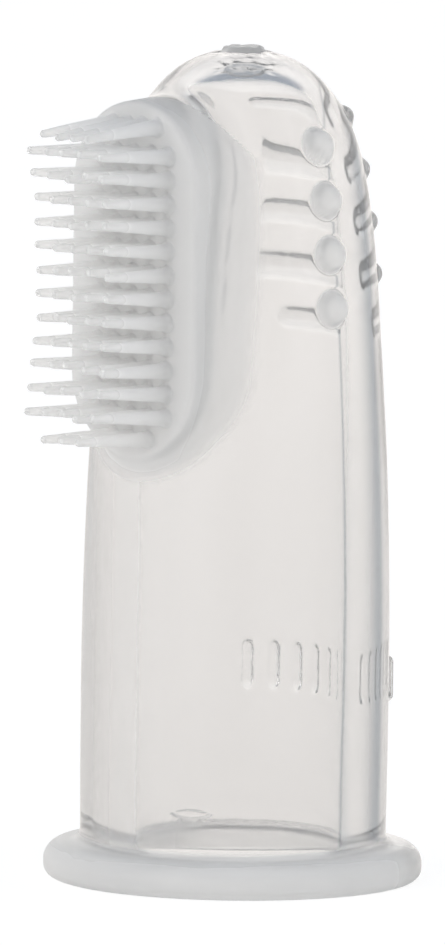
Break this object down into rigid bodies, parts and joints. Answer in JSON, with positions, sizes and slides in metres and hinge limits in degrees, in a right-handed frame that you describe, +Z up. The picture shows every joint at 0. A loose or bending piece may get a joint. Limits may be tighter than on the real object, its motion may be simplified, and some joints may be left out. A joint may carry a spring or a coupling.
{
  "type": "pet finger toothbrush",
  "caption": "Translucent silicone toothbrush worn on a fingertip: hollow round-tipped sleeve on a rolled flange, raised oval bristle pad in front, massage domes and ribs behind.",
  "frame": {"origin": "on the plane of the flange's underside, in the middle of the whole part's box in plan; the axis of the finger sleeve stands 2.40 mm from it at +Y", "axes": "+Z up along the finger, from the open flange to the closed tip; the bristles point towards -Y, the massage ribs towards +Y, and X runs across the bristle rows"},
  "size_m": [0.0254, 0.0302, 0.0562],
  "materials": {
    "clear_silicone": "milky, see-through moulded silicone, satin",
    "frosted_silicone": "frosted moulded silicone, matte"
  },
  "bodies": {
    "brush_body": {"finger_sleeve": "clear_silicone", "base_flange": "clear_silicone", "bristle_pad": "frosted_silicone", "massage_dome_right_1": "clear_silicone", "massage_dome_right_2": "clear_silicone", "massage_dome_right_3": "clear_silicone", "massage_dome_right_4": "clear_silicone", "massage_dome_left_1": "clear_silicone", "massage_dome_left_2": "clear_silicone", "massage_dome_left_3": "clear_silicone", "massage_dome_left_4": "clear_silicone", "massage_rib_1": "clear_silicone", "massage_rib_2": "clear_silicone", "massage_rib_3": "clear_silicone", "massage_rib_4": "clear_silicone", "massage_rib_5": "clear_silicone", "grip_rib_1": "clear_silicone", "grip_rib_2": "clear_silicone", "grip_rib_3": "clear_silicone", "grip_rib_4": "clear_silicone", "grip_rib_5": "clear_silicone", "grip_rib_6": "clear_silicone", "grip_rib_7": "clear_silicone", "gate_vestige": "clear_silicone"},
    "bristle_row_01": {"bristle_row_01": "frosted_silicone"},
    "bristle_row_02": {"bristle_row_02": "frosted_silicone"},
    "bristle_row_03": {"bristle_row_03": "frosted_silicone"},
    "bristle_row_04": {"bristle_row_04": "frosted_silicone"},
    "bristle_row_05": {"bristle_row_05": "frosted_silicone"},
    "bristle_row_06": {"bristle_row_06": "frosted_silicone"},
    "bristle_row_07": {"bristle_row_07": "frosted_silicone"},
    "bristle_row_08": {"bristle_row_08": "frosted_silicone"},
    "bristle_row_09": {"bristle_row_09": "frosted_silicone"},
    "bristle_row_10": {"bristle_row_10": "frosted_silicone"},
    "bristle_row_11": {"bristle_row_11": "frosted_silicone"},
    "bristle_row_12": {"bristle_row_12": "frosted_silicone"},
    "bristle_row_13": {"bristle_row_13": "frosted_silicone"},
    "bristle_row_14": {"bristle_row_14": "frosted_silicone"}
  },
  "joints": [
    {"name": "bristle_row_01_flex", "type": "hinge", "parent": "brush_body", "child": "bristle_row_01", "pos_m": [0, -0.00816, 0.05144], "axis": [1, 0, 0], "range_deg": [-25, 25], "stiffness_Nm_per_rad": 0.0001},
    {"name": "bristle_row_02_flex", "type": "hinge", "parent": "brush_body", "child": "bristle_row_02", "pos_m": [0, -0.00816, 0.04956], "axis": [1, 0, 0], "range_deg": [-25, 25], "stiffness_Nm_per_rad": 0.0001},
    {"name": "bristle_row_03_flex", "type": "hinge", "parent": "brush_body", "child": "bristle_row_03", "pos_m": [0, -0.00816, 0.04797], "axis": [1, 0, 0], "range_deg": [-25, 25], "stiffness_Nm_per_rad": 0.0001},
    {"name": "bristle_row_04_flex", "type": "hinge", "parent": "brush_body", "child": "bristle_row_04", "pos_m": [0, -0.00816, 0.04638], "axis": [1, 0, 0], "range_deg": [-25, 25], "stiffness_Nm_per_rad": 0.0001},
    {"name": "bristle_row_05_flex", "type": "hinge", "parent": "brush_body", "child": "bristle_row_05", "pos_m": [0, -0.00816, 0.04479], "axis": [1, 0, 0], "range_deg": [-25, 25], "stiffness_Nm_per_rad": 0.0001},
    {"name": "bristle_row_06_flex", "type": "hinge", "parent": "brush_body", "child": "bristle_row_06", "pos_m": [0, -0.00816, 0.0432], "axis": [1, 0, 0], "range_deg": [-25, 25], "stiffness_Nm_per_rad": 0.0001},
    {"name": "bristle_row_07_flex", "type": "hinge", "parent": "brush_body", "child": "bristle_row_07", "pos_m": [0, -0.00816, 0.04161], "axis": [1, 0, 0], "range_deg": [-25, 25], "stiffness_Nm_per_rad": 0.0001},
    {"name": "bristle_row_08_flex", "type": "hinge", "parent": "brush_body", "child": "bristle_row_08", "pos_m": [0, -0.00816, 0.04002], "axis": [1, 0, 0], "range_deg": [-25, 25], "stiffness_Nm_per_rad": 0.0001},
    {"name": "bristle_row_09_flex", "type": "hinge", "parent": "brush_body", "child": "bristle_row_09", "pos_m": [0, -0.00816, 0.03843], "axis": [1, 0, 0], "range_deg": [-25, 25], "stiffness_Nm_per_rad": 0.0001},
    {"name": "bristle_row_10_flex", "type": "hinge", "parent": "brush_body", "child": "bristle_row_10", "pos_m": [0, -0.00816, 0.03684], "axis": [1, 0, 0], "range_deg": [-25, 25], "stiffness_Nm_per_rad": 0.0001},
    {"name": "bristle_row_11_flex", "type": "hinge", "parent": "brush_body", "child": "bristle_row_11", "pos_m": [0, -0.00816, 0.03525], "axis": [1, 0, 0], "range_deg": [-25, 25], "stiffness_Nm_per_rad": 0.0001},
    {"name": "bristle_row_12_flex", "type": "hinge", "parent": "brush_body", "child": "bristle_row_12", "pos_m": [0, -0.00816, 0.03366], "axis": [1, 0, 0], "range_deg": [-25, 25], "stiffness_Nm_per_rad": 0.0001},
    {"name": "bristle_row_13_flex", "type": "hinge", "parent": "brush_body", "child": "bristle_row_13", "pos_m": [0, -0.00816, 0.03207], "axis": [1, 0, 0], "range_deg": [-25, 25], "stiffness_Nm_per_rad": 0.0001},
    {"name": "bristle_row_14_flex", "type": "hinge", "parent": "brush_body", "child": "bristle_row_14", "pos_m": [0, -0.00816, 0.0305], "axis": [1, 0, 0], "range_deg": [-25, 25], "stiffness_Nm_per_rad": 0.0001}
  ],
  "couplings": [
    {"joint": "bristle_row_01_flex", "follows": "bristle_row_07_flex", "ratio": 1},
    {"joint": "bristle_row_02_flex", "follows": "bristle_row_07_flex", "ratio": 1},
    {"joint": "bristle_row_03_flex", "follows": "bristle_row_07_flex", "ratio": 1},
    {"joint": "bristle_row_04_flex", "follows": "bristle_row_07_flex", "ratio": 1},
    {"joint": "bristle_row_05_flex", "follows": "bristle_row_07_flex", "ratio": 1},
    {"joint": "bristle_row_06_flex", "follows": "bristle_row_07_flex", "ratio": 1},
    {"joint": "bristle_row_08_flex", "follows": "bristle_row_07_flex", "ratio": 1},
    {"joint": "bristle_row_09_flex", "follows": "bristle_row_07_flex", "ratio": 1},
    {"joint": "bristle_row_10_flex", "follows": "bristle_row_07_flex", "ratio": 1},
    {"joint": "bristle_row_11_flex", "follows": "bristle_row_07_flex", "ratio": 1},
    {"joint": "bristle_row_12_flex", "follows": "bristle_row_07_flex", "ratio": 1},
    {"joint": "bristle_row_13_flex", "follows": "bristle_row_07_flex", "ratio": 1},
    {"joint": "bristle_row_14_flex", "follows": "bristle_row_07_flex", "ratio": 1}
  ]
}
